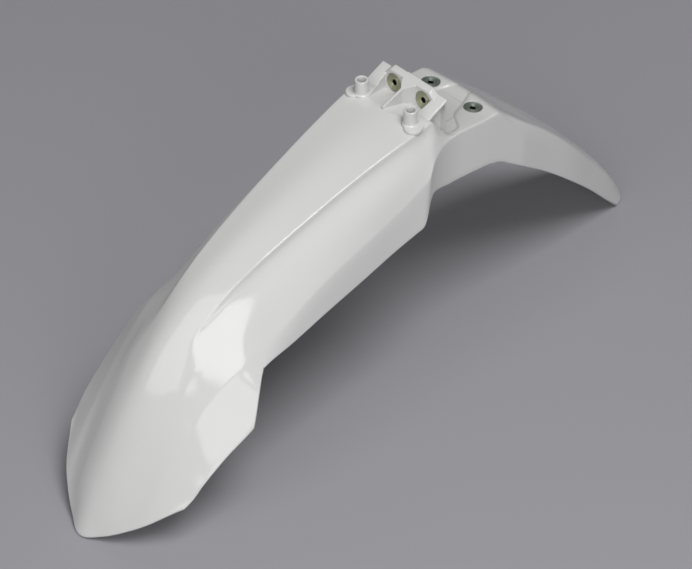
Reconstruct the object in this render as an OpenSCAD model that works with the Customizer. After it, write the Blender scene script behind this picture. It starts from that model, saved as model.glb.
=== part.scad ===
// Front mudguard of an off-road motorcycle: one moulded shell with a mounting block,
// and four flanged steel bushes for its bolts.
// +X points to the nose, +Z up, and the origin lies midway between the two rear bolt holes,
// on the face that their bolts clamp.

/* [Shell] */
// From the rear bolts forward to the tip of the nose
front_len = 542; // [480:1:620]
// From the rear bolts back to the end of the tail
rear_len = 280; // [230:1:330]
// From the rear bolts down to the ends of the nose and the tail
drop = 276; // [240:1:310]
// Width across the two flares of the nose
flare_w = 200; // [180:1:230]
// Width of the mounting plate between the fork legs
waist_w = 112; // [104:1:118]
// Wall of the moulding
wall = 2.5; // [2:0.1:3.5]

/* [Bolts] */
// Backward lean of the steering axis, which the rear bolts follow
rake = 7.5; // [4:0.5:11]
// Distance between the rear bolts
rear_pitch = 62; // [58:1:66]
// Distance between the front bolts
front_pitch = 42; // [38:1:46]
// Front bolts, how far ahead of the rear ones
front_x = 67; // [66:0.5:70]
// Front bolts, how far above the rear ones
front_z = 40; // [39:0.5:42]

/* [Bushes] */
// Bore for the bolt
bore_d = 6.5; // [5:0.1:8.5]
// Outside of the sleeve
sleeve_d = 11; // [10:0.5:13]
// Diameter of the flange
flange_d = 20; // [16:0.5:21]
// Thickness of the flange
flange_t = 1.5; // [1:0.1:2]
// Length of a rear bush, flange included
rear_bush_len = 10; // [8:0.5:14]
// Length of a front bush, flange included
front_bush_len = 11; // [10:0.5:13]
// Gap round the flange in its seat
seat_gap = 0.4; // [0.2:0.1:0.8]

/* [Block] */
// Rear face of the block, ahead of the rear bolts
block_x = 57; // [54:0.5:58]
// Width of the block
block_w = 94; // [90:1:98]
// Height of its sides above the rear bolts
side_h = 50.5; // [48:0.5:53]
// Height of its hood above the rear bolts
hood_h = 55.5; // [54:0.5:60]
// Outside of a peg
peg_d = 14.5; // [11:0.5:16]
// Hole in a peg
peg_hole_d = 9.5; // [4:0.5:10]
// Distance between the pegs
peg_pitch = 71; // [66:1:75]
// Pegs, ahead of the rear bolts
peg_x = 100; // [97:0.5:104]
// Top of the pegs above the rear bolts
peg_h = 54.5; // [50:0.5:60]

/* [Hidden] */
$fn = 64;

// Half sections from the tail to the nose. Each row gives six points, from the middle outwards:
// crown, edge of the raised deck, foot of its step, shoulder, crease and rim.
TAIL = 0;
RECESS_REAR = 5;
PLATE_REAR = 6;
PLATE_FRONT = 10;
RAMP_TOP = 12;
RECESS_FRONT = 14;
FLARE_REAR = 19;
FLARE_FRONT = 21;
sections = [
  [[-280, 0, -276], [-275, 16, -276], [-272, 24, -276],
   [-265, 33, -276], [-256, 40, -276], [-245, 44, -276]],
  [[-241, 0, -226], [-240, 20, -227], [-239, 30, -229],
   [-236, 40, -234], [-231, 44, -244], [-225, 47, -255]],
  [[-200, 0, -175], [-199, 22, -176], [-198, 34, -177],
   [-194, 46, -182], [-189, 50, -197], [-184, 53, -211]],
  [[-150, 0, -120], [-149, 24, -121], [-148, 38, -122],
   [-146, 52, -125], [-142, 56, -144], [-138, 59, -166]],
  [[-96, 0, -69], [-96, 22, -70], [-96, 38, -71],
   [-96, 54, -73], [-94, 58, -97], [-91, 61, -124]],
  [[-50, 0, -31], [-50, 16, -31], [-51, 22, -32],
   [-54, 55, -36], [-53, 58, -56], [-48, 63, -90]],
  [[-19, 0, -1.5], [-18.5, 9, -1.5], [-18, 12, 0],
   [-15.5, 52, -0.5], [-15, 56, -1.5], [-14, 62, -65]],
  [[4, 0, -2.5], [4, 18, -2.5], [4, 21, 0.5],
   [4, 52, 0.5], [4, 56, 0.5], [4, 62, -59]],
  [[24, 0, 0], [24, 26, 0], [24, 29, 3],
   [24, 52, 3], [24, 56, 3], [24, 62, -55.5]],
  [[42, 0, 2.5], [42, 46, 2.5], [42, 50, 5.5],
   [42, 53, 5.5], [42, 56, 5.5], [44, 62, -52.5]],
  [[57, 0, 4.5], [57, 47, 5], [57, 50, 6],
   [57, 54, 7], [57, 57, 7], [62, 62, -49.5]],
  [[70, 0, 22], [70, 49, 21], [70, 51, 18.5],
   [70, 56, 13], [70, 60, 7], [72, 63, -47]],
  [[84, 0, 41], [84, 51, 39], [83, 53, 32],
   [84, 58, 18], [84, 64, 5], [82, 66, -43]],
  [[97, 0, 39], [97, 51, 36], [96, 52, 27],
   [97, 61, 13], [98, 69, 0], [100, 71, -38]],
  [[110, 0, 37], [110, 50.5, 34], [109, 52, 25],
   [108, 63, 8], [107, 73, -11], [120, 80, -63]],
  [[150, 0, 30], [150, 47, 26], [149, 48.5, 16.5],
   [149, 63, -2], [150, 74, -27], [160, 80, -71.5]],
  [[200, 0, 18], [200, 42.5, 13], [198, 44, 4],
   [200, 60.5, -15], [203, 74.5, -41], [210, 80, -82.5]],
  [[255, 0, 1.5], [255, 38, -4], [253, 39.5, -13],
   [256, 58.5, -33], [260, 74, -57], [265, 80, -94]],
  [[305, 0, -16], [305, 33.5, -22], [302, 35, -30],
   [303, 56.5, -53], [303, 73.5, -76], [310, 80, -104.5]],
  [[350, 0, -36], [350, 29, -42], [347, 31.5, -47.5],
   [345, 53, -71], [342, 72, -94], [354, 82, -110]],
  [[390, 0, -60], [386, 26, -66], [382, 31, -70],
   [373, 51, -84], [369, 70, -99], [368, 91, -127]],
  [[430, 0, -95], [424, 26, -101], [420, 35, -104],
   [408, 51, -111], [397, 67, -119], [387, 102, -157]],
  [[463, 0, -137], [458, 25, -141], [454, 35, -145],
   [445, 48, -147], [436, 62, -151], [422, 97, -179]],
  [[498, 0, -191], [493, 24, -194], [489, 34, -197],
   [482, 47, -199], [474, 60, -197], [452, 93, -202]],
  [[521, 0, -232], [515, 24, -232], [510, 34, -233],
   [502, 46, -230], [493, 59, -224], [464, 91, -214]],
  [[542, 0, -276], [531, 24, -269], [526, 33, -264],
   [518, 45, -256], [508, 58, -247], [474, 88, -221]]
];
LAST = len(sections) - 1;
CROWN = 0;
CREASE = 4;
RIM = 5;

// How sharply each point is turned across the section, by row of the table: 1 is an edge
step_turn = [[5, 0], [6, 1], [19, 1], [21, 0]];
shoulder_turn = [[0, 0], [2, 0.4], [4, 0.8], [6, 1], [9, 1], [12, 0]];
crease_turn = [[4, 0], [5, 1], [14, 1], [15, 0.6], [18, 0.6], [20, 0.9], [22, 0.8], [24, 0]];

// Rows and columns of facets within one cell of the table
LONG_CUTS = 3;
CROSS_CUTS = [4, 1, 3, 3, 3];

// Fork leg clearance: a wall that leans out downwards and bends outwards ahead of fork_x
fork_x = 40;
fork_r = 145;
wall_draft = 0.09;

// Rise of the plate towards the block
plate_slope = tan(rake);

function stretch_x(x) =
  x < 0 ? x * rear_len / -sections[TAIL][CROWN][0]
        : let (from = sections[RECESS_FRONT][CROWN][0], to = sections[LAST][CROWN][0])
          x <= from ? x : from + (x - from) * (front_len - from) / (to - from);
function stretch_z(z) = z < 0 ? z * drop / -sections[LAST][CROWN][2] : z;
function flare_share(x) = lookup(x, [[120, 0], [350, 1]]);
function stretch_y(x, y) = y * (1 + flare_share(x) * (flare_w / 200 - 1));

function fork_wall_y(x, z) =
  let (ahead = max(0, x * cos(rake) + z * sin(rake) - fork_x), below = x * plate_slope - z)
  waist_w / 2 + wall_draft * below + fork_r - sqrt(fork_r * fork_r - ahead * ahead);

function in_recess(i) = i >= RECESS_REAR && i <= RECESS_FRONT;
function table_point(i, k) =
  let (p = sections[i][k], x = stretch_x(p[0]), z = stretch_z(p[2]))
  [x, in_recess(i) && k >= CREASE ? fork_wall_y(x, z) : stretch_y(x, p[1]), z];

// A curve through points: at each one its direction is the mean of both sides, or each side's own
function direction(before, after, turn, side) =
  let (a = norm(before), b = norm(after))
  (1 - turn) * (before * b / a + after * a / b) / (a + b) + turn * (side < 0 ? before / a : after / b);
function hermite(p, q, dp, dq, t) =
  let (len = norm(q - p), t2 = t * t, t3 = t2 * t)
  (2 * t3 - 3 * t2 + 1) * p + (t3 - 2 * t2 + t) * len * dp + (3 * t2 - 2 * t3) * q + (t3 - t2) * len * dq;
function on_curve(pts, turns, start, i, t) =
  let (step = pts[i + 1] - pts[i])
  hermite(pts[i], pts[i + 1],
          i == 0 ? (is_undef(start) ? step / norm(step) : start)
                 : direction(pts[i] - pts[i - 1], step, turns[i], 1),
          i == len(pts) - 2 ? step / norm(step)
                            : direction(step, pts[i + 2] - pts[i + 1], turns[i + 1], -1), t);

// Edges that run across the moulding
function row_turn(i, k) =
  i == PLATE_REAR ? 1
  : i == PLATE_FRONT || i == RAMP_TOP ? (k < 3 ? 1 : 0)
  : (i == RECESS_REAR || i == RECESS_FRONT) && k >= CREASE ? 1
  : (i == FLARE_REAR || i == FLARE_FRONT) && k == RIM ? 0.8 : 0;

rails = [for (k = [0:RIM]) [for (i = [0:LAST]) table_point(i, k)]];
rail_turns = [for (k = [0:RIM]) [for (i = [0:LAST]) row_turn(i, k)]];

function half_section(i, t) =
  let (u = i + t,
       pts = [for (k = [0:RIM]) on_curve(rails[k], rail_turns[k], undef, i, t)],
       turns = [0, lookup(u, step_turn), lookup(u, step_turn), lookup(u, shoulder_turn),
                lookup(u, crease_turn), 0],
       walled = u >= RECESS_REAR && u <= RECESS_FRONT)
  [for (k = [0:RIM - 1]) for (c = [0:CROSS_CUTS[k] - (k == RIM - 1 ? 0 : 1)])
     let (p = on_curve(pts, turns, [0, 1, 0], k, c / CROSS_CUTS[k]))
     walled && k >= CREASE ? [p[0], fork_wall_y(p[0], p[2]), p[2]] : p];

function full_section(i, t) =
  let (half = half_section(i, t))
  concat([for (j = [len(half) - 1:-1:1]) [half[j][0], -half[j][1], half[j][2]]], half);

outer = concat([for (i = [0:LAST - 1]) for (s = [0:LONG_CUTS - 1]) full_section(i, s / LONG_CUTS)],
               [full_section(LAST - 1, 1)]);
N = len(outer);
M = len(outer[0]);
function normal_at(i, j) =
  let (along = outer[min(i + 1, N - 1)][j] - outer[max(i - 1, 0)][j],
       across = outer[i][min(j + 1, M - 1)] - outer[i][max(j - 1, 0)],
       n = cross(along, across))
  n / norm(n);
inner = [for (i = [0:N - 1]) [for (j = [0:M - 1]) outer[i][j] - wall * normal_at(i, j)]];

// The moulded skin: outer and inner grids, joined along the rim
module skin() {
  points = concat([for (row = outer) each row], [for (row = inner) each row]);
  under = N * M;
  function at(i, j) = i * M + j;
  function quad(a, b, c, d) = [[a, b, c], [a, c, d]];
  polyhedron(points, concat(
    [for (i = [0:N - 2]) for (j = [0:M - 2]) each concat(
       quad(at(i, j), at(i, j + 1), at(i + 1, j + 1), at(i + 1, j)),
       quad(under + at(i, j), under + at(i + 1, j), under + at(i + 1, j + 1), under + at(i, j + 1)))],
    [for (i = [0:N - 2]) each concat(
       quad(at(i, 0), at(i + 1, 0), under + at(i + 1, 0), under + at(i, 0)),
       quad(at(i, M - 1), under + at(i, M - 1), under + at(i + 1, M - 1), at(i + 1, M - 1)))],
    [for (j = [0:M - 2]) each concat(
       quad(at(0, j), under + at(0, j), under + at(0, j + 1), at(0, j + 1)),
       quad(at(N - 1, j), at(N - 1, j + 1), under + at(N - 1, j + 1), under + at(N - 1, j)))]));
}

// The block: a hollow wedge on the ramp of the deck, higher between the bolts
side_end_x = 86;
side_end_h = 38;
side_slope = (side_h - side_end_h) / (side_end_x - block_x);
ridge_end_x = 105;
ridge_end_h = 40.5;
hood_slope = (hood_h - ridge_end_h) / (ridge_end_x - block_x);
hood_w = 56;
hood_foot_w = 68;
hood_side_h = 5;
ramp_top = sections[RAMP_TOP][CROWN];
block_foot = sections[PLATE_FRONT][CROWN][2] - wall / 2;
under_deck = 30;
web = 3;
gusset_depth = 6;

// The deck ahead of the ramp, and the space that the bolt pockets take from it
deck_end_x = 110;
deck_end_h = 35;
pocket_gap = 1.5;
pocket_drop = 14;
pocket_y = flange_d / 2 + pocket_gap;
pocket_floor = front_z - pocket_y;
prow_len = 10;
pocket_end_y = 24;

// Bosses, ribs and the pads that carry the pegs
boss_d = 17;
boss_top = 2;
rib = 2;
rib_depth = 8;
pad_r = 10;
pad_shift = [3, 7];
pad_rear_r = 5;
pad_rear_shift = [-14, 6];
pad_top = 37.8;
pad_t = 5;
peg_hole_len = 14;

module along_x(outline, width) {
  rotate([90, 0, 0]) linear_extrude(width, center = true) polygon(outline);
}
module at_rear_bolts() {
  rotate([0, -rake, 0]) for (s = [-1, 1]) translate([0, s * rear_pitch / 2, 0]) children();
}
module at_front_bolts() {
  for (s = [-1, 1]) translate([front_x, s * front_pitch / 2, front_z]) rotate([0, 90 - rake, 0]) children();
}

// Where the face that the front bolts clamp lies at a height
function face_x(z) = front_x - (z - front_z) * plate_slope;
function hood_top(x) = hood_h - hood_slope * (x - block_x);

module hood() {
  intersection() {
    translate([0, 0, hood_top(0)]) rotate([0, atan(hood_slope), 0]) rotate([90, 0, 90])
      linear_extrude(2 * block_x)
        polygon([[-hood_foot_w / 2, -2 * hood_side_h], [-hood_foot_w / 2, -hood_side_h],
                 [-hood_w / 2, 0], [hood_w / 2, 0], [hood_foot_w / 2, -hood_side_h],
                 [hood_foot_w / 2, -2 * hood_side_h]]);
    along_x([[block_x, front_z], [block_x, hood_h + 1], [face_x(hood_h + 1), hood_h + 1],
             [face_x(front_z), front_z]], block_w);
  }
}

// What stands between the pockets: as wide as the gap between the flanges at the hood, then thin
module ridge() {
  prow_y = front_pitch / 2 - pocket_y;
  half = [[block_x, prow_y], [front_x, prow_y], [front_x + prow_len, wall / 2], [ridge_end_x, wall / 2]];
  intersection() {
    linear_extrude(hood_h)
      polygon(concat(half, [for (i = [len(half) - 1:-1:0]) [half[i][0], -half[i][1]]]));
    along_x([[block_x, block_foot], [block_x, hood_h], [ridge_end_x, ridge_end_h],
             [ridge_end_x, deck_end_h], [ramp_top[0], ramp_top[2] - wall]], block_w);
  }
}

module block_wedge() {
  along_x([[block_x, block_foot], [block_x, side_h], [side_end_x, side_end_h]], block_w);
  hood();
  ridge();
}

// Recess under the overhang of each side
module side_gussets() {
  in_x = block_x + web;
  roof = side_h - web - side_slope * web;
  for (s = [-1, 1]) translate([0, s * block_w / 2, 0])
    along_x([[in_x, 0], [in_x, roof], [side_end_x, roof - side_slope * (side_end_x - in_x)],
             [side_end_x, 0]], 2 * gusset_depth);
}

module block_cavity() {
  inside_w = block_w - 2 * gusset_depth - 2 * web;
  in_x = block_x + wall;
  side_roof = side_h - wall - side_slope * wall;
  hood_roof = hood_h - wall - hood_slope * wall;
  run = ramp_top[0] - in_x;
  along_x([[in_x, -under_deck], [in_x, side_roof], [ramp_top[0], side_roof - side_slope * run],
           [ramp_top[0], -under_deck]], inside_w);
  along_x([[in_x, -under_deck], [in_x, hood_roof], [ramp_top[0], hood_roof - hood_slope * run],
           [ramp_top[0], -under_deck]], hood_w - 2 * wall);
}

// Space in front of each front bolt: upright walls, and a floor that rises to the deck
module bolt_pockets(grow) {
  side = front_pitch / 2 + pocket_y + grow;
  prow_y = front_pitch / 2 - pocket_y - grow;
  end_x = ridge_end_x + grow;
  floor_z = pocket_floor - grow;
  intersection() {
    linear_extrude(2 * hood_h) for (s = [-1, 1])
      polygon([[block_x, s * prow_y], [front_x, s * prow_y], [front_x + prow_len, s * (wall / 2 - grow)],
               [end_x, s * (wall / 2 - grow)], [end_x, s * (pocket_end_y + grow)],
               [front_x + prow_len, s * (side - 1)], [front_x, s * side], [block_x, s * side]]);
    along_x([[face_x(floor_z) - grow, floor_z], [end_x, ramp_top[2] - wall - grow], [end_x, 2 * hood_h],
             [face_x(2 * hood_h) - grow, 2 * hood_h]], block_w);
  }
}
module bolt_boss(len) {
  translate([0, 0, -len]) cylinder(h = len - boss_top, d = boss_d);
}

// Walls round the pockets and the bolts, kept inside the block and under the deck
module pocket_walls() {
  intersection() {
    union() {
      bolt_pockets(wall);
      at_front_bolts() bolt_boss(front_bush_len);
      along_x([[block_x, block_foot], [block_x, hood_h], [ramp_top[0], hood_h],
               [ramp_top[0], ramp_top[2] - pocket_drop]], web);
    }
    union() {
      block_wedge();
      along_x([[block_x, block_foot], [ramp_top[0], ramp_top[2] - wall / 2], [deck_end_x, deck_end_h],
               [deck_end_x, deck_end_h - pocket_drop], [block_x, block_foot - pocket_drop]], block_w);
    }
  }
}

module block() {
  difference() {
    block_wedge();
    side_gussets();
    block_cavity();
  }
  pocket_walls();
}

// Hollow pegs on pads that run back to the sides of the block and stand out over the deck's edge
module pegs() {
  for (s = [-1, 1]) translate([peg_x, s * peg_pitch / 2, 0]) {
    difference() {
      translate([0, 0, pad_top - pad_t]) cylinder(h = peg_h - pad_top + pad_t, d = peg_d);
      translate([0, 0, peg_h - peg_hole_len]) cylinder(h = peg_hole_len + 1, d = peg_hole_d);
    }
    hull() {
      translate([pad_shift[0], s * pad_shift[1], pad_top - pad_t]) cylinder(h = pad_t, r = pad_r);
      translate([pad_rear_shift[0], s * pad_rear_shift[1], pad_top - pad_t]) cylinder(h = pad_t, r = pad_rear_r);
    }
  }
}

// Sleeve with a flange, its clamped face at z = 0 and its chamfered end below
module bush(len) {
  chamfer = 0.6;
  difference() {
    union() {
      translate([0, 0, -flange_t]) cylinder(h = flange_t, d = flange_d);
      translate([0, 0, chamfer - len]) cylinder(h = len - chamfer, d = sleeve_d);
      translate([0, 0, -len]) cylinder(h = chamfer, d1 = sleeve_d - 2 * chamfer, d2 = sleeve_d);
    }
    translate([0, 0, -len - 1]) cylinder(h = len + 2, d = bore_d);
  }
}
// What a bush takes out of the moulding, with a way in above it and below it
module bush_seat(len) {
  above = 3;
  below = 6;
  translate([0, 0, -flange_t]) cylinder(h = flange_t + above, d = flange_d + 2 * seat_gap);
  translate([0, 0, -len - below]) cylinder(h = len + below, d = sleeve_d);
}

// Bosses of the rear bolts, tied to each other and to the block by ribs under the plate
module rear_bosses() {
  at_rear_bolts() bolt_boss(rear_bush_len);
  rotate([0, -rake, 0]) {
    translate([-rib / 2, -rear_pitch / 2, -rib_depth]) cube([rib, rear_pitch, rib_depth - wall]);
    for (s = [-1, 1]) translate([0, s * rear_pitch / 2 - rib / 2, -rib_depth])
      cube([block_x + wall, rib, rib_depth - wall]);
  }
}

module mudguard_shell() {
  color("whitesmoke") difference() {
    union() {
      difference() {
        skin();
        block_cavity();
      }
      block();
      rear_bosses();
    }
    bolt_pockets(0);
    at_rear_bolts() bush_seat(rear_bush_len);
    at_front_bolts() bush_seat(front_bush_len);
  }
  color("whitesmoke") pegs();
}
module rear_bush(side) {
  color("gray") rotate([0, -rake, 0]) translate([0, side * rear_pitch / 2, 0]) bush(rear_bush_len);
}
module front_bush(side) {
  color("darkkhaki") translate([front_x, side * front_pitch / 2, front_z]) rotate([0, 90 - rake, 0])
    bush(front_bush_len);
}
module bush_rear_left() { rear_bush(1); }
module bush_rear_right() { rear_bush(-1); }
module bush_front_left() { front_bush(1); }
module bush_front_right() { front_bush(-1); }

mudguard_shell();
bush_rear_left();
bush_rear_right();
bush_front_left();
bush_front_right();
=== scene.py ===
"""Looks of a moulded motorcycle front mudguard.

The shell is lofted again from the section table of its construction, with finer facets and
with the fillets that the moulding has, and its block, pegs and bosses are joined to it.
The four steel bushes are turned from profiles. Lengths are in millimetres until a piece is
finished, and in metres after that.
"""

import math

import bmesh
import bpy
import numpy as np
from mathutils import Matrix, Vector


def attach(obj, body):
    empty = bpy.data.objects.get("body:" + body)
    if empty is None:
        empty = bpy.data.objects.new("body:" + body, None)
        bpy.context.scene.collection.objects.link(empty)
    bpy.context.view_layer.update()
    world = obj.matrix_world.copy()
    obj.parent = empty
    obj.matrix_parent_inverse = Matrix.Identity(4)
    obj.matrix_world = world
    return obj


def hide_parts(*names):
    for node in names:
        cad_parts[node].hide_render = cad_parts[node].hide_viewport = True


MM = 0.001

# Material slots of the shell: the glossy outside and the matt underside
OUTSIDE, BELOW = 0, 1

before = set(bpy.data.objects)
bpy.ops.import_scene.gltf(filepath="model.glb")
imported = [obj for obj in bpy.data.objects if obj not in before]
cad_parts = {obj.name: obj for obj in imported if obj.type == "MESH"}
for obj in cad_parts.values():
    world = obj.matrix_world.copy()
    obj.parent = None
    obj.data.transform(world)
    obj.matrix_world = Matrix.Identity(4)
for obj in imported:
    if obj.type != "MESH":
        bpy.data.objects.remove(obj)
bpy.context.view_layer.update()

# Shell: table of half sections from the tail to the nose.
# Each row gives crown, edge of the raised deck, foot of its step, shoulder, crease and rim.
SECTIONS = np.array([
    [[-280, 0, -276], [-275, 16, -276], [-272, 24, -276],
     [-265, 33, -276], [-256, 40, -276], [-245, 44, -276]],
    [[-241, 0, -226], [-240, 20, -227], [-239, 30, -229],
     [-236, 40, -234], [-231, 44, -244], [-225, 47, -255]],
    [[-200, 0, -175], [-199, 22, -176], [-198, 34, -177],
     [-194, 46, -182], [-189, 50, -197], [-184, 53, -211]],
    [[-150, 0, -120], [-149, 24, -121], [-148, 38, -122],
     [-146, 52, -125], [-142, 56, -144], [-138, 59, -166]],
    [[-96, 0, -69], [-96, 22, -70], [-96, 38, -71],
     [-96, 54, -73], [-94, 58, -97], [-91, 61, -124]],
    [[-50, 0, -31], [-50, 16, -31], [-51, 22, -32],
     [-54, 55, -36], [-53, 58, -56], [-48, 63, -90]],
    [[-19, 0, -1.5], [-18.5, 9, -1.5], [-18, 12, 0],
     [-15.5, 52, -0.5], [-15, 56, -1.5], [-14, 62, -65]],
    [[4, 0, -2.5], [4, 18, -2.5], [4, 21, 0.5],
     [4, 52, 0.5], [4, 56, 0.5], [4, 62, -59]],
    [[24, 0, 0], [24, 26, 0], [24, 29, 3],
     [24, 52, 3], [24, 56, 3], [24, 62, -55.5]],
    [[42, 0, 2.5], [42, 46, 2.5], [42, 50, 5.5],
     [42, 53, 5.5], [42, 56, 5.5], [44, 62, -52.5]],
    [[57, 0, 4.5], [57, 47, 5], [57, 50, 6],
     [57, 54, 7], [57, 57, 7], [62, 62, -49.5]],
    [[70, 0, 22], [70, 49, 21], [70, 51, 18.5],
     [70, 56, 13], [70, 60, 7], [72, 63, -47]],
    [[84, 0, 41], [84, 51, 39], [83, 53, 32],
     [84, 58, 18], [84, 64, 5], [82, 66, -43]],
    [[97, 0, 39], [97, 51, 36], [96, 52, 27],
     [97, 61, 13], [98, 69, 0], [100, 71, -38]],
    [[110, 0, 37], [110, 50.5, 34], [109, 52, 25],
     [108, 63, 8], [107, 73, -11], [120, 80, -63]],
    [[150, 0, 30], [150, 47, 26], [149, 48.5, 16.5],
     [149, 63, -2], [150, 74, -27], [160, 80, -71.5]],
    [[200, 0, 18], [200, 42.5, 13], [198, 44, 4],
     [200, 60.5, -15], [203, 74.5, -41], [210, 80, -82.5]],
    [[255, 0, 1.5], [255, 38, -4], [253, 39.5, -13],
     [256, 58.5, -33], [260, 74, -57], [265, 80, -94]],
    [[305, 0, -16], [305, 33.5, -22], [302, 35, -30],
     [303, 56.5, -53], [303, 73.5, -76], [310, 80, -104.5]],
    [[350, 0, -36], [350, 29, -42], [347, 31.5, -47.5],
     [345, 53, -71], [342, 72, -94], [354, 82, -110]],
    [[390, 0, -60], [386, 26, -66], [382, 31, -70],
     [373, 51, -84], [369, 70, -99], [368, 91, -127]],
    [[430, 0, -95], [424, 26, -101], [420, 35, -104],
     [408, 51, -111], [397, 67, -119], [387, 102, -157]],
    [[463, 0, -137], [458, 25, -141], [454, 35, -145],
     [445, 48, -147], [436, 62, -151], [422, 97, -179]],
    [[498, 0, -191], [493, 24, -194], [489, 34, -197],
     [482, 47, -199], [474, 60, -197], [452, 93, -202]],
    [[521, 0, -232], [515, 24, -232], [510, 34, -233],
     [502, 46, -230], [493, 59, -224], [464, 91, -214]],
    [[542, 0, -276], [531, 24, -269], [526, 33, -264],
     [518, 45, -256], [508, 58, -247], [474, 88, -221]]], float)
RECESS_REAR, PLATE_REAR, PLATE_FRONT, RAMP_TOP, RECESS_FRONT = 5, 6, 10, 12, 14
FLARE_REAR, FLARE_FRONT = 19, 21
LAST = len(SECTIONS) - 1
CREASE, RIM = 4, 5
STEP_TURN = [[5, 0], [6, 1], [19, 1], [21, 0]]
SHOULDER_TURN = [[0, 0], [2, 0.4], [4, 0.8], [6, 1], [9, 1], [12, 0]]
CREASE_TURN = [[4, 0], [5, 1], [14, 1], [15, 0.6], [18, 0.6], [20, 0.9], [22, 0.8], [24, 0]]
WALL = 2.5
RAKE = math.radians(7.5)
WAIST_W, FORK_X, FORK_R, WALL_DRAFT = 112, 40, 145, 0.09

# Fillets of the moulding: at the points of a section, and at the rows that turn sharply
POINT_FILLET = [(0, 0), (1.6, 1.6), (4, 12), (4, 4), (2, 2), (0, 0)]
ROW_FILLET = {RECESS_REAR: 5, PLATE_REAR: 6, PLATE_FRONT: 4, RAMP_TOP: 5, RECESS_FRONT: 5}
ROW_STEP = 3.6
POINT_CUTS = [10, 2, 6, 8, 9]
FILLET_CUTS = 4
FAIR_FROM, FAIR_WIDTH, FAIR_EDGE = 130, 20, 8
FAIR_RISE, FAIR_FALL = 40, 30
NORMAL_WIDTH = 3.0

# Where the rounded edge of the wall has its points, in degrees
EDGE_ANGLES = (30, 60, 90, 120, 150)
EDGE_CUTS = len(EDGE_ANGLES)
END_ANGLES = (30, 60, 80)


def fork_wall_y(x, z):
    ahead = max(0.0, x * math.cos(RAKE) + z * math.sin(RAKE) - FORK_X)
    below = x * math.tan(RAKE) - z
    return WAIST_W / 2 + WALL_DRAFT * below + FORK_R - math.sqrt(FORK_R ** 2 - ahead ** 2)


def at_table(u, table):
    return float(np.interp(u, [row[0] for row in table], [row[1] for row in table]))


def row_turn(i, k):
    if i == PLATE_REAR:
        return 1
    if i in (PLATE_FRONT, RAMP_TOP):
        return 1 if k < 3 else 0
    if i in (FLARE_REAR, FLARE_FRONT) and k == RIM:
        return 0.8
    return 1 if i in (RECESS_REAR, RECESS_FRONT) and k >= CREASE else 0


def direction(before, after, turn, side):
    a, b = np.linalg.norm(before), np.linalg.norm(after)
    smooth = (before * b / a + after * a / b) / (a + b)
    return (1 - turn) * smooth + turn * (before / a if side < 0 else after / b)


def on_curve(points, turns, start, i, t):
    step = points[i + 1] - points[i]
    length = np.linalg.norm(step)
    if i == 0:
        leave = step / length if start is None else np.array(start, float)
    else:
        leave = direction(points[i] - points[i - 1], step, turns[i], 1)
    if i == len(points) - 2:
        arrive = step / length
    else:
        arrive = direction(step, points[i + 2] - points[i + 1], turns[i + 1], -1)
    t2, t3 = t * t, t ** 3
    return ((2 * t3 - 3 * t2 + 1) * points[i] + (t3 - 2 * t2 + t) * length * leave
            + (3 * t2 - 2 * t3) * points[i + 1] + (t3 - t2) * length * arrive)


RAILS = SECTIONS.copy()
for row in range(RECESS_REAR, RECESS_FRONT + 1):
    for k in (CREASE, RIM):
        RAILS[row, k, 1] = fork_wall_y(RAILS[row, k, 0], RAILS[row, k, 2])
RAIL_TURNS = [[row_turn(i, k) for i in range(LAST + 1)] for k in range(RIM + 1)]


def bezier(a, corner, b, v):
    return (1 - v) ** 2 * a + 2 * v * (1 - v) * corner + v * v * b


def half_section(i, t):
    """Points from the crown to the rim, with a fillet at each point of the section."""
    u = i + t
    points = [on_curve(RAILS[:, k], RAIL_TURNS[k], None, i, t) for k in range(RIM + 1)]
    step = at_table(u, STEP_TURN)
    turns = [0, step, step, at_table(u, SHOULDER_TURN), at_table(u, CREASE_TURN), 0]
    walled = RECESS_REAR <= u <= RECESS_FRONT
    length = [np.linalg.norm(points[k + 1] - points[k]) for k in range(RIM)]

    def at(k, s):
        p = on_curve(points, turns, (0, 1, 0), k, s)
        if walled and k >= CREASE:
            p[1] = fork_wall_y(p[0], p[2])
        return p

    out = []
    for k in range(RIM):
        first = min(POINT_FILLET[k][1] / length[k], 0.45)
        last = 1 - min(POINT_FILLET[k + 1][0] / length[k], 0.45)
        out += [at(k, s) for s in np.linspace(first, last, POINT_CUTS[k] + 1)]
        if k < RIM - 1:
            corner = at(k + 1, 0)
            after = at(k + 1, min(POINT_FILLET[k + 1][1] / length[k + 1], 0.45))
            out += [bezier(out[-1], corner, after, v)
                    for v in np.linspace(0, 1, FILLET_CUTS + 1)[1:-1]]
    return np.array(out)


def full_section(i, t):
    half = half_section(i, t)
    return np.concatenate([half[:0:-1] * [1, -1, 1], half])


def outer_grid():
    """Sections from the tail to the nose, with fillets along the rows that turn sharply."""
    span = [np.linalg.norm(RAILS[i + 1, 0] - RAILS[i, 0]) for i in range(LAST)]
    rows = []
    for i in range(LAST):
        first = ROW_FILLET.get(i, 0) / span[i]
        last = 1 - ROW_FILLET.get(i + 1, 0) / span[i]
        cuts = max(3, math.ceil(span[i] * (last - first) / ROW_STEP))
        positions = np.linspace(first, last, cuts + 1)
        if i + 1 not in ROW_FILLET and i + 1 < LAST:
            positions = positions[:-1]
        rows += [full_section(i, t) for t in positions]
        if i + 1 in ROW_FILLET:
            corner = full_section(i + 1, 0)
            after = full_section(i + 1, ROW_FILLET[i + 1] / span[i + 1])
            rows += [bezier(rows[-1], corner, after, v)
                     for v in np.linspace(0, 1, FILLET_CUTS + 2)[1:-1]]
    return np.array(rows)


def unit(v):
    return v / np.maximum(np.linalg.norm(v, axis=-1, keepdims=True), 1e-9)


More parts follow.
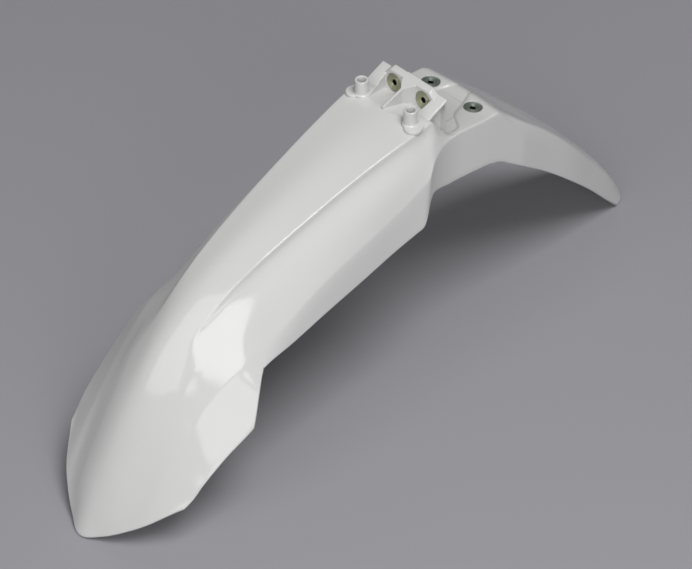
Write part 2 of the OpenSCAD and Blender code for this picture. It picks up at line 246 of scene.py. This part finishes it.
def blur_along(values, places, width):
    """Gaussian mean of values along axis 0, where places are the points' places in space."""
    steps = np.linalg.norm(np.diff(places, axis=0), axis=-1)
    run = np.concatenate([np.zeros((1,) + steps.shape[1:]), np.cumsum(steps, axis=0)])
    share = np.gradient(run, axis=0)
    out = np.empty_like(values)
    for j in range(values.shape[1]):
        near = np.exp(-((run[:, j][:, None] - run[:, j][None, :]) / width) ** 2) * share[:, j][None, :]
        out[:, j] = near @ values[:, j] / near.sum(1, keepdims=True)
    return out


def fair(outer):
    """The grid with the waves between table rows evened out along the deck ahead of the recess."""
    forward = outer[:, outer.shape[1] // 2, 0]
    rise = np.clip((forward - FAIR_FROM) / FAIR_RISE, 0, 1)
    along = rise * np.clip((forward[-1] - forward) / FAIR_FALL, 0, 1)
    column = np.arange(outer.shape[1])
    across = np.clip(np.minimum(column, column[::-1]) / FAIR_EDGE, 0, 1)
    share = (along[:, None] * across[None, :])[..., None]
    return outer + share * (blur_along(outer, outer, FAIR_WIDTH) - outer)


def edge_outward(line, next_line, normal):
    """Directions in the skin, square to its edge line and away from the line next to it."""
    out = unit(np.cross(np.gradient(line, axis=0), normal))
    away = line - next_line
    return out * np.sign((out * away).sum(-1).mean())


def skin_mesh():
    """The skin as a closed mesh: outer face, inner face and a rounded edge all round."""
    outer = fair(outer_grid())
    n, m = outer.shape[:2]
    along = np.gradient(outer, axis=0)
    across = np.gradient(outer, axis=1)
    normal = unit(np.cross(along, across))
    normal = unit(blur_along(normal, outer, NORMAL_WIDTH))
    turned_grid = blur_along(normal.swapaxes(0, 1), outer.swapaxes(0, 1), NORMAL_WIDTH)
    normal = unit(turned_grid.swapaxes(0, 1))
    half = WALL / 2
    middle = outer - half * normal
    # the last lines step back, so that the rounded edge ends where the wall ends
    side = [edge_outward(middle[:, j], middle[:, k], normal[:, j]) for j, k in ((0, 1), (-1, -2))]
    end = [edge_outward(middle[i], middle[k], normal[i]) for i, k in ((0, 1), (-1, -2))]
    for e, i in ((0, 0), (1, -1)):
        for f, j in ((0, 0), (1, -1)):
            end[e][j] = side[f][i] = unit(end[e][j] + side[f][i])
    for e, i in ((0, 0), (1, -1)):
        middle[i] -= half * end[e]
        middle[1:-1, i] -= half * side[e][1:-1]

    def ring(i):
        """Points round the wall at one section: over the top, round one edge, back below."""
        mid, nor, left, right = middle[i], normal[i], side[0][i], side[1][i]
        turn = [math.radians(a) for a in EDGE_ANGLES]
        loop = [mid[j] + half * nor[j] for j in range(m)]
        loop += [mid[-1] + half * (math.cos(a) * nor[-1] + math.sin(a) * right) for a in turn]
        loop += [mid[j] - half * nor[j] for j in range(m - 1, -1, -1)]
        loop += [mid[0] + half * (-math.cos(a) * nor[0] + math.sin(a) * left) for a in turn]
        centre = [mid[j] for j in range(m)] + [mid[-1]] * EDGE_CUTS
        centre += [mid[j] for j in range(m - 1, -1, -1)] + [mid[0]] * EDGE_CUTS
        return np.array(loop), np.array(centre)

    rings = []
    for e, i in ((0, 0), (1, n - 1)):
        loop, centre = ring(i)
        out = end[e]
        last, first = np.repeat(out[-1:], EDGE_CUTS, 0), np.repeat(out[:1], EDGE_CUTS, 0)
        out = np.concatenate([out, last, out[::-1], first])
        caps = [centre + half * unit((loop - centre) / half * math.cos(a) + out * math.sin(a))
                for a in (math.radians(b) for b in END_ANGLES)]
        rings += caps if e else caps[::-1] + [ring(k)[0] for k in range(n)]
    points = np.concatenate(rings)
    count, around = len(rings), len(rings[0])
    faces = []
    for r in range(count - 1):
        for c in range(around):
            d = (c + 1) % around
            faces.append((r * around + c, r * around + d, (r + 1) * around + d, (r + 1) * around + c))
    below = [OUTSIDE] * len(faces)
    for r in range(count - 1):
        for c in range(around):
            if m + EDGE_CUTS <= c < 2 * m + EDGE_CUTS - 1:
                below[r * around + c] = BELOW
    for r, flip in ((0, True), (count - 1, False)):
        base = r * around
        top = list(range(m))
        bottom = list(range(2 * m + EDGE_CUTS - 1, m + EDGE_CUTS - 1, -1))
        for j in range(m - 1):
            quad = (base + top[j], base + top[j + 1], base + bottom[j + 1], base + bottom[j])
            faces.append(quad[::-1] if flip else quad)
            below.append(OUTSIDE)
        right = [base + m - 1 + a for a in range(EDGE_CUTS + 2)]
        left = [base + 2 * m + EDGE_CUTS - 1 + a for a in range(EDGE_CUTS + 1)] + [base]
        for edge in (right, left):
            faces.append(tuple(edge[::-1] if flip else edge))
            below.append(OUTSIDE)
    return points, faces, below


# Materials
def new_material(name):
    mat = bpy.data.materials.new(name)
    mat.use_nodes = True
    nodes, links = mat.node_tree.nodes, mat.node_tree.links
    return mat, nodes, links, nodes["Principled BSDF"]


def plastic(name, color, roughness, bump, grain):
    """Moulded polypropylene: a fine uneven gloss and a faint orange peel over the colour."""
    mat, nodes, links, shader = new_material(name)
    place = nodes.new("ShaderNodeTexCoord")
    shader.inputs["IOR"].default_value = 1.49

    cloud = nodes.new("ShaderNodeTexNoise")
    cloud.inputs["Scale"].default_value = 9
    cloud.inputs["Detail"].default_value = 3
    links.new(place.outputs["Object"], cloud.inputs["Vector"])
    tint = nodes.new("ShaderNodeMix")
    tint.data_type = "RGBA"
    tint.inputs["A"].default_value = (*[c * 0.985 for c in color], 1)
    tint.inputs["B"].default_value = (*color, 1)
    links.new(cloud.outputs["Fac"], tint.inputs["Factor"])
    links.new(tint.outputs["Result"], shader.inputs["Base Color"])

    smear = nodes.new("ShaderNodeTexNoise")
    smear.inputs["Scale"].default_value = 38
    smear.inputs["Detail"].default_value = 5
    links.new(place.outputs["Object"], smear.inputs["Vector"])
    gloss = nodes.new("ShaderNodeMapRange")
    gloss.inputs["To Min"].default_value = roughness * 0.8
    gloss.inputs["To Max"].default_value = roughness * 1.25
    links.new(smear.outputs["Fac"], gloss.inputs["Value"])
    links.new(gloss.outputs["Result"], shader.inputs["Roughness"])

    edge = nodes.new("ShaderNodeBevel")
    edge.samples = 6
    edge.inputs["Radius"].default_value = 0.0013
    peel = nodes.new("ShaderNodeTexNoise")
    peel.inputs["Scale"].default_value = grain
    peel.inputs["Detail"].default_value = 2
    links.new(place.outputs["Object"], peel.inputs["Vector"])
    raised = nodes.new("ShaderNodeBump")
    raised.inputs["Strength"].default_value = bump
    raised.inputs["Distance"].default_value = 0.0002
    links.new(peel.outputs["Fac"], raised.inputs["Height"])
    links.new(edge.outputs["Normal"], raised.inputs["Normal"])
    links.new(raised.outputs["Normal"], shader.inputs["Normal"])
    return mat


def plated_steel(name, color, dark):
    """Zinc plated, turned steel: clouded plating with fine marks."""
    mat, nodes, links, shader = new_material(name)
    shader.inputs["Metallic"].default_value = 0.6
    place = nodes.new("ShaderNodeTexCoord")
    cloud = nodes.new("ShaderNodeTexNoise")
    cloud.inputs["Scale"].default_value = 420
    cloud.inputs["Detail"].default_value = 6
    links.new(place.outputs["Object"], cloud.inputs["Vector"])
    tint = nodes.new("ShaderNodeMix")
    tint.data_type = "RGBA"
    tint.inputs["A"].default_value = (*dark, 1)
    tint.inputs["B"].default_value = (*color, 1)
    links.new(cloud.outputs["Fac"], tint.inputs["Factor"])
    links.new(tint.outputs["Result"], shader.inputs["Base Color"])
    worn = nodes.new("ShaderNodeMapRange")
    worn.inputs["To Min"].default_value = 0.32
    worn.inputs["To Max"].default_value = 0.55
    links.new(cloud.outputs["Fac"], worn.inputs["Value"])
    links.new(worn.outputs["Result"], shader.inputs["Roughness"])
    marks = nodes.new("ShaderNodeTexNoise")
    marks.inputs["Scale"].default_value = 1600
    links.new(place.outputs["Object"], marks.inputs["Vector"])
    raised = nodes.new("ShaderNodeBump")
    raised.inputs["Strength"].default_value = 0.3
    raised.inputs["Distance"].default_value = 0.0001
    links.new(marks.outputs["Fac"], raised.inputs["Height"])
    links.new(raised.outputs["Normal"], shader.inputs["Normal"])
    return mat


GLOSS = plastic("shell_gloss", (0.66, 0.66, 0.65), 0.09, 0.05, 260)
UNDERSIDE = plastic("shell_underside", (0.62, 0.62, 0.61), 0.42, 0.35, 700)
GREY_STEEL = plated_steel("grey_steel", (0.36, 0.40, 0.36), (0.17, 0.20, 0.17))
YELLOW_ZINC = plated_steel("yellow_zinc", (0.52, 0.52, 0.38), (0.24, 0.25, 0.16))
# Painted shade: the wall inside each bore is coloured near black to stand for the shade down the bore
BORE_PAINTED_SHADE = plated_steel("bore_painted_shade", (0.03, 0.03, 0.028), (0.015, 0.015, 0.015))


# Solids, in millimetres
def solid(name, points, faces, slots=None, slot=OUTSIDE):
    mesh = bpy.data.meshes.new(name)
    mesh.from_pydata([tuple(p) for p in points], [], faces)
    for mat in (GLOSS, UNDERSIDE):
        mesh.materials.append(mat)
    for face, index in zip(mesh.polygons, slots or [slot] * len(faces)):
        face.material_index = index
    mesh.validate()
    obj = bpy.data.objects.new(name, mesh)
    bpy.context.scene.collection.objects.link(obj)
    return obj


def outward(obj, bevel=0.0):
    """Faces turned outwards, and edges rounded by bevel."""
    work = bmesh.new()
    work.from_mesh(obj.data)
    bmesh.ops.recalc_face_normals(work, faces=work.faces)
    if bevel:
        sharp = [e for e in work.edges if len(e.link_faces) == 2 and e.calc_face_angle() > 0.3]
        bmesh.ops.bevel(work, geom=sharp, offset=bevel, segments=3, profile=0.5,
                        affect="EDGES", clamp_overlap=True)
        bmesh.ops.recalc_face_normals(work, faces=work.faces)
    work.to_mesh(obj.data)
    work.free()
    return obj


def prism(name, outline, axis, low, high, slot=OUTSIDE, bevel=0.0):
    """A polygon carried along Y or Z. The outline gives the other two coordinates."""
    points = []
    for place in (low, high):
        points += [(a, place, b) if axis == "y" else (a, b, place) for a, b in outline]
    n = len(outline)
    faces = [tuple(range(n))[::-1], tuple(range(n, 2 * n))]
    faces += [(i, (i + 1) % n, n + (i + 1) % n, n + i) for i in range(n)]
    return outward(solid(name, points, faces, slot=slot), bevel)


def turned(name, profile, place=Matrix(), slot=OUTSIDE, around=72):
    """A closed profile of (radius, height) turned about Z; radius 0 lies on the axis."""
    points, faces, first = [], [], []
    for r, z in profile:
        first.append(len(points))
        if r < 1e-6:
            points.append((0, 0, z))
        else:
            points += [(r * math.cos(2 * math.pi * a / around), r * math.sin(2 * math.pi * a / around), z)
                       for a in range(around)]
    for p in range(len(profile)):
        q = (p + 1) % len(profile)
        on_p, on_q = profile[p][0] < 1e-6, profile[q][0] < 1e-6
        if on_p and on_q:
            continue
        for a in range(around):
            b = (a + 1) % around
            if on_p:
                faces.append((first[p], first[q] + b, first[q] + a))
            elif on_q:
                faces.append((first[p] + a, first[p] + b, first[q]))
            else:
                faces.append((first[p] + a, first[p] + b, first[q] + b, first[q] + a))
    obj = outward(solid(name, points, faces, slot=slot))
    obj.data.transform(place)
    return obj


def cylinder(name, place, low, high, radius, slot=OUTSIDE):
    return turned(name, [(0, low), (radius, low), (radius, high), (0, high)], place, slot)


def combine(target, operation, *tools):
    """Boolean of target with each tool in turn; the tools are used up."""
    for tool in tools:
        change = target.modifiers.new("combine", "BOOLEAN")
        change.operation = operation
        change.solver = "MANIFOLD"
        change.object = tool
        shown = target.evaluated_get(bpy.context.evaluated_depsgraph_get())
        mesh = bpy.data.meshes.new_from_object(shown)
        target.modifiers.clear()
        target.data = mesh
        bpy.data.objects.remove(tool)
    return target


# Block, pegs and bosses
REAR_PITCH, FRONT_PITCH, FRONT_X, FRONT_Z = 62, 42, 67, 40
SLEEVE_R, FLANGE_R, FLANGE_T, SEAT_GAP = 5.5, 10, 1.5, 0.4
BORE_R = 3.25
# Two turned grooves on the flange, as (radius, height)
RING_LINES = [(6.6, 0), (6.9, -0.45), (7.4, -0.45), (7.7, 0), (8.9, 0), (9.1, -0.25), (9.3, 0)]
REAR_BUSH, FRONT_BUSH = 10, 11
BLOCK_X, BLOCK_W, SIDE_H, HOOD_H = 57, 94, 50.5, 55.5
SIDE_END_X, SIDE_END_H, RIDGE_END_X, RIDGE_END_H = 86, 38, 105, 40.5
HOOD_W, HOOD_FOOT_W, HOOD_SIDE_H = 56, 68, 5
UNDER_DECK, WEB, GUSSET_DEPTH = 30, 3, 6
DECK_END_X, DECK_END_H = 110, 35
POCKET_GAP, POCKET_DROP, PROW_LEN, POCKET_END_Y = 1.5, 14, 10, 24
BOSS_R, BOSS_TOP, RIB, RIB_DEPTH = 8.5, 2, 2, 8
PEG_R, PEG_HOLE_R, PEG_PITCH, PEG_X, PEG_H, PEG_HOLE_LEN = 7.25, 4.75, 71, 100, 54.5, 14
PAD_R, PAD_SHIFT, PAD_REAR_R, PAD_REAR_SHIFT, PAD_TOP, PAD_T = 10, (3, 7), 5, (-14, 6), 37.8, 5
RAMP_X, RAMP_Z = 84, 41
BLOCK_FOOT = 4.5 - WALL / 2
SIDE_SLOPE = (SIDE_H - SIDE_END_H) / (SIDE_END_X - BLOCK_X)
HOOD_SLOPE = (HOOD_H - RIDGE_END_H) / (RIDGE_END_X - BLOCK_X)
POCKET_Y = FLANGE_R + POCKET_GAP
BLOCK_EDGE, POCKET_EDGE = 1.4, 2.5


def rear_bolt(side):
    return Matrix.Rotation(-RAKE, 4, "Y") @ Matrix.Translation((0, side * REAR_PITCH / 2, 0))


def front_bolt(side):
    return (Matrix.Translation((FRONT_X, side * FRONT_PITCH / 2, FRONT_Z))
            @ Matrix.Rotation(math.pi / 2 - RAKE, 4, "Y"))


def face_x(z):
    """Where the face that the front bolts clamp lies at a height."""
    return FRONT_X - (z - FRONT_Z) * math.tan(RAKE)


def hood(bevel):
    points = []
    for x in (BLOCK_X, SIDE_END_X):
        top = HOOD_H - HOOD_SLOPE * (x - BLOCK_X)
        for y, z in ((-HOOD_FOOT_W / 2, -2 * HOOD_SIDE_H), (-HOOD_FOOT_W / 2, -HOOD_SIDE_H), (-HOOD_W / 2, 0),
                     (HOOD_W / 2, 0), (HOOD_FOOT_W / 2, -HOOD_SIDE_H), (HOOD_FOOT_W / 2, -2 * HOOD_SIDE_H)):
            points.append((x, y, top + z))
    faces = [tuple(range(6))[::-1], tuple(range(6, 12))]
    faces += [(i, (i + 1) % 6, 6 + (i + 1) % 6, 6 + i) for i in range(6)]
    form = outward(solid("hood", points, faces), bevel)
    over = HOOD_H + 1
    keep = prism("keep", [(BLOCK_X - 1, FRONT_Z), (BLOCK_X - 1, over), (face_x(over), over),
                          (face_x(FRONT_Z), FRONT_Z)], "y", -BLOCK_W / 2, BLOCK_W / 2)
    return combine(form, "INTERSECT", keep)


def ridge(bevel):
    """What stands between the pockets: wide at the hood, then a thin wall."""
    prow_y = FRONT_PITCH / 2 - POCKET_Y
    half = [(BLOCK_X, prow_y), (FRONT_X, prow_y), (FRONT_X + PROW_LEN, WALL / 2), (RIDGE_END_X, WALL / 2)]
    plan = prism("ridge", half + [(x, -y) for x, y in half[::-1]], "z", 0, HOOD_H + 1, bevel=bevel)
    profile = prism("profile", [(BLOCK_X, BLOCK_FOOT), (BLOCK_X, HOOD_H), (RIDGE_END_X, RIDGE_END_H),
                                (RIDGE_END_X + 1, DECK_END_H), (RAMP_X, RAMP_Z - WALL)], "y",
                    -BLOCK_W / 2, BLOCK_W / 2)
    return combine(plan, "INTERSECT", profile)


def wedge(name, bevel):
    """The block's outer form: sloping sides, the hood between them and the ridge."""
    sides = prism(name, [(BLOCK_X, BLOCK_FOOT), (BLOCK_X, SIDE_H), (SIDE_END_X, SIDE_END_H)],
                  "y", -BLOCK_W / 2, BLOCK_W / 2, bevel=bevel)
    return combine(sides, "UNION", hood(bevel), ridge(bevel / 2))


def cavity():
    inside = BLOCK_W / 2 - GUSSET_DEPTH - WEB
    in_x = BLOCK_X + WALL
    run = RAMP_X - in_x
    rooms = []
    for height, slope, half in ((SIDE_H, SIDE_SLOPE, inside), (HOOD_H, HOOD_SLOPE, HOOD_W / 2 - WALL)):
        roof = height - WALL - slope * WALL
        rooms.append(prism("cavity", [(in_x, -UNDER_DECK), (in_x, roof), (RAMP_X, roof - slope * run),
                                      (RAMP_X, -UNDER_DECK)], "y", -half, half, slot=BELOW))
    return combine(rooms[0], "UNION", rooms[1])


def pocket(side, grow, slot, bevel=0.0):
    """Space in front of a front bolt: upright walls, and a floor that rises to the deck."""
    inner = FRONT_PITCH / 2 - POCKET_Y - grow
    outer = FRONT_PITCH / 2 + POCKET_Y + grow
    thin, front = WALL / 2 - grow, RIDGE_END_X + grow
    floor, above = FRONT_Z - POCKET_Y - grow, 2 * HOOD_H
    plan = [(BLOCK_X, inner), (FRONT_X, inner), (FRONT_X + PROW_LEN, thin), (front, thin),
            (front, POCKET_END_Y + grow), (FRONT_X + PROW_LEN, outer - 1), (FRONT_X, outer), (BLOCK_X, outer)]
    room = prism("pocket", [(x, side * y) for x, y in plan], "z", 0, above, slot=slot, bevel=bevel)
    profile = prism("profile", [(face_x(floor) - grow, floor), (front, RAMP_Z - WALL - grow), (front, above),
                                (face_x(above) - grow, above)], "y", -BLOCK_W / 2, BLOCK_W / 2, slot=slot)
    return combine(room, "INTERSECT", profile)


def pocket_walls():
    parts = prism("web", [(BLOCK_X, BLOCK_FOOT), (BLOCK_X, HOOD_H), (RAMP_X, HOOD_H),
                          (RAMP_X, RAMP_Z - POCKET_DROP)], "y", -WEB / 2, WEB / 2, slot=BELOW)
    for side in (-1, 1):
        boss = cylinder("boss", front_bolt(side), -FRONT_BUSH, -BOSS_TOP, BOSS_R, slot=BELOW)
        combine(parts, "UNION", pocket(side, WALL, BELOW), boss)
    under = prism("under", [(BLOCK_X, BLOCK_FOOT), (RAMP_X, RAMP_Z - WALL / 2), (DECK_END_X, DECK_END_H),
                            (DECK_END_X, DECK_END_H - POCKET_DROP), (BLOCK_X, BLOCK_FOOT - POCKET_DROP)],
                  "y", -BLOCK_W / 2, BLOCK_W / 2, slot=BELOW)
    return combine(parts, "INTERSECT", combine(wedge("limit", 0), "UNION", under))


def block():
    form = wedge("block", BLOCK_EDGE)
    in_x = BLOCK_X + WEB
    roof = SIDE_H - WEB - SIDE_SLOPE * WEB
    front = roof - SIDE_SLOPE * (SIDE_END_X - in_x)
    for side in (-1, 1):
        y = side * BLOCK_W / 2
        gusset = prism("gusset", [(in_x, 0), (in_x, roof), (SIDE_END_X, front), (SIDE_END_X, 0)],
                       "y", y - GUSSET_DEPTH, y + GUSSET_DEPTH)
        combine(form, "DIFFERENCE", gusset)
    combine(form, "DIFFERENCE", cavity())
    return combine(form, "UNION", pocket_walls())


def quarter(radius, cuts=5):
    """Points of a quarter circle, as what is left of the radius along and across."""
    angles = np.linspace(0, math.pi / 2, cuts)
    return [(radius * (1 - math.cos(a)), radius * (1 - math.sin(a))) for a in angles]


def pad_outline(cuts=14):
    """Outline round a large and a small circle, with straight sides between them."""
    step = np.subtract(PAD_REAR_SHIFT, PAD_SHIFT)
    toward = math.atan2(step[1], step[0])
    turn = math.acos((PAD_R - PAD_REAR_R) / math.hypot(*step))
    points = []
    for r, (x, y), start, end in ((PAD_R, PAD_SHIFT, toward + turn, toward + 2 * math.pi - turn),
                                  (PAD_REAR_R, PAD_REAR_SHIFT, toward - turn, toward + turn)):
        points += [(x + r * math.cos(a), y + r * math.sin(a)) for a in np.linspace(start, end, 2 * cuts)]
    return points


def peg(side):
    """A hollow peg on a pad, which stands out over the edge of the deck."""
    bottom = PAD_TOP - PAD_T
    foot = [(PEG_R + b, PAD_TOP + a) for a, b in quarter(2)]
    lip = [(PEG_R - a, PEG_H - b) for a, b in quarter(0.8)]
    mouth = [(PEG_HOLE_R + b, PEG_H - a) for a, b in quarter(0.8)]
    profile = [(0, bottom), (PEG_R + 2, bottom)] + foot + lip + mouth
    profile += [(PEG_HOLE_R, PEG_H - PEG_HOLE_LEN), (0, PEG_H - PEG_HOLE_LEN)]
    post = turned("peg", profile, Matrix.Translation((PEG_X, side * PEG_PITCH / 2, 0)))
    outline = [(PEG_X + x, side * (PEG_PITCH / 2 + y)) for x, y in pad_outline()]
    return combine(post, "UNION", prism("pad", outline, "z", bottom, PAD_TOP, bevel=BLOCK_EDGE))


def seat(place, length):
    """What a bush takes out of the moulding."""
    flange = cylinder("flange_seat", place, -FLANGE_T, 3, FLANGE_R + SEAT_GAP)
    sleeve = cylinder("sleeve_seat", place, -length - 6, -FLANGE_T + 0.1, SLEEVE_R, slot=BELOW)
    return combine(flange, "UNION", sleeve)


def rear_ribs():
    lean = Matrix.Rotation(-RAKE, 4, "Y")
    ribs = []
    for x0, x1, y0, y1 in ((-RIB / 2, RIB / 2, -REAR_PITCH / 2, REAR_PITCH / 2),
                           (0, BLOCK_X + WALL, REAR_PITCH / 2 - RIB / 2, REAR_PITCH / 2 + RIB / 2),
                           (0, BLOCK_X + WALL, -REAR_PITCH / 2 - RIB / 2, -REAR_PITCH / 2 + RIB / 2)):
        outline = [(x0, -RIB_DEPTH), (x0, -WALL), (x1, -WALL), (x1, -RIB_DEPTH)]
        rib = prism("rib", outline, "y", y0, y1, slot=BELOW)
        rib.data.transform(lean)
        ribs.append(rib)
    return ribs


def shell():
    points, faces, below = skin_mesh()
    form = outward(solid("mudguard", points, faces, slots=below))
    combine(form, "DIFFERENCE", cavity())
    combine(form, "UNION", block(), *rear_ribs())
    for side in (-1, 1):
        boss = cylinder("boss", rear_bolt(side), -REAR_BUSH, -BOSS_TOP, BOSS_R, slot=BELOW)
        combine(form, "UNION", boss)
    for side in (-1, 1):
        opening = pocket(side, 0, OUTSIDE, bevel=POCKET_EDGE)
        seats = seat(rear_bolt(side), REAR_BUSH), seat(front_bolt(side), FRONT_BUSH)
        combine(form, "DIFFERENCE", opening, *seats)
    combine(form, "UNION", peg(-1), peg(1))
    return form


def finish_piece(obj, node, sharp_deg=32):
    """Millimetres to metres, smooth shading with sharp edges, and its place in the part."""
    obj.data.transform(Matrix.Scale(MM, 4))
    obj.data.shade_smooth()
    obj.data.set_sharp_from_angle(angle=math.radians(sharp_deg))
    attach(obj, "root")
    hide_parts(node)
    return obj


def bush(name, place, length, material):
    """A flanged sleeve: turned rings on the flange, a dish round the bore and a chamfered end."""
    dish = [(BORE_R, -1.2), (BORE_R + 0.5, -0.5), (BORE_R + 1.9, -0.4), (BORE_R + 2.3, 0)]
    flange_edge = [(FLANGE_R - 0.35, 0), (FLANGE_R - 0.1, -0.1), (FLANGE_R, -0.35),
                   (FLANGE_R, -FLANGE_T + 0.2), (FLANGE_R - 0.2, -FLANGE_T)]
    sleeve = [(SLEEVE_R, -FLANGE_T), (SLEEVE_R, -length + 0.5), (SLEEVE_R - 0.5, -length),
              (BORE_R + 0.5, -length), (BORE_R, -length + 0.5)]
    obj = turned(name, dish + RING_LINES + flange_edge + sleeve, place, around=96)
    obj.data.materials.clear()
    obj.data.materials.append(material)
    # The second slot is the near-black painted shade for the wall inside the bore
    obj.data.materials.append(BORE_PAINTED_SHADE)
    lean = place.to_3x3()
    for face in obj.data.polygons:
        middle = place.inverted() @ face.center
        outwards = lean.inverted() @ face.normal
        # Faces of the bore wall take the painted shade; the rest keep the plated colour
        inside = math.hypot(middle.x, middle.y) < BORE_R + 0.1
        face.material_index = 1 if inside and abs(outwards.z) < 0.5 else 0
    return obj


finish_piece(shell(), "mudguard_shell")
for label, side in (("left", 1), ("right", -1)):
    finish_piece(bush(f"rear_{label}_sleeve", rear_bolt(side), REAR_BUSH, GREY_STEEL),
                 f"bush_rear_{label}")
    finish_piece(bush(f"front_{label}_sleeve", front_bolt(side), FRONT_BUSH, YELLOW_ZINC),
                 f"bush_front_{label}")


# Camera, lights and floor
def look(azimuth, elevation):
    """Columns right, up and back of a camera that looks from that side."""
    a, e = math.radians(azimuth), math.radians(elevation)
    back = Vector((math.sin(a) * math.cos(e), -math.cos(a) * math.cos(e), math.sin(e)))
    right = Vector((math.cos(a), math.sin(a), 0))
    up = back.cross(right)
    return Matrix((right, up, back)).transposed()


IMAGE_W_PX, FOCAL_PX = 692, 2600
CAMERA_PLACE = (1.611, 1.479, 1.707)
CAMERA_AZIMUTH, CAMERA_ELEVATION = 135.5, 42.2
camera = bpy.data.cameras.new("camera")
camera.sensor_width = 36
camera.lens = camera.sensor_width * FOCAL_PX / IMAGE_W_PX
camera.clip_start = 0.1
camera.clip_end = 30
view = bpy.data.objects.new("camera", camera)
turn = look(CAMERA_AZIMUTH, CAMERA_ELEVATION).to_4x4()
view.matrix_world = Matrix.Translation(CAMERA_PLACE) @ turn
bpy.context.scene.collection.objects.link(view)
bpy.context.scene.camera = view


LAMP_AIM = Vector((0.15, 0, -0.1))


def softbox(name, azimuth, elevation, distance, width, height, power):
    """A lamp behind a rectangle that faces the mudguard; azimuth 0 is ahead of the nose."""
    lamp = bpy.data.lights.new(name, "AREA")
    lamp.shape = "RECTANGLE"
    lamp.size, lamp.size_y = width, height
    lamp.energy = power
    obj = bpy.data.objects.new(name, lamp)
    a, e = math.radians(azimuth), math.radians(elevation)
    away = Vector((math.cos(a) * math.cos(e), math.sin(a) * math.cos(e), math.sin(e)))
    obj.location = LAMP_AIM + away * distance
    obj.rotation_euler = away.to_track_quat("Z", "Y").to_euler()
    bpy.context.scene.collection.objects.link(obj)


softbox("key_box", 15, 43, 7, 5.5, 5.5, 172)
softbox("high_box", 84, 68, 7, 3, 3, 284)
softbox("side_high_box", 60, 31.5, 2.4, 1.0, 0.63, 8.5)
softbox("side_low_box", 61.5, 15.5, 2.4, 1.5, 0.48, 5.5)

world = bpy.data.worlds.new("studio")
world.use_nodes = True
world.node_tree.nodes["Background"].inputs["Color"].default_value = (0.62, 0.62, 0.65, 1)
world.node_tree.nodes["Background"].inputs["Strength"].default_value = 0.07
bpy.context.scene.world = world
bpy.context.scene.view_settings.view_transform = "Standard"

FLOOR_Z, FLOOR_HALF = -0.2776, 6
floor_mesh = bpy.data.meshes.new("floor")
corners = [(x * FLOOR_HALF, y * FLOOR_HALF, FLOOR_Z) for x, y in ((-1, -1), (1, -1), (1, 1), (-1, 1))]
floor_mesh.from_pydata(corners, [], [(0, 1, 2, 3)])
floor = bpy.data.objects.new("floor", floor_mesh)
bpy.context.scene.collection.objects.link(floor)
paper, nodes, links, shader = new_material("floor_paper")
shader.inputs["Base Color"].default_value = (0.325, 0.323, 0.346, 1)
shader.inputs["Roughness"].default_value = 0.85
floor_mesh.materials.append(paper)
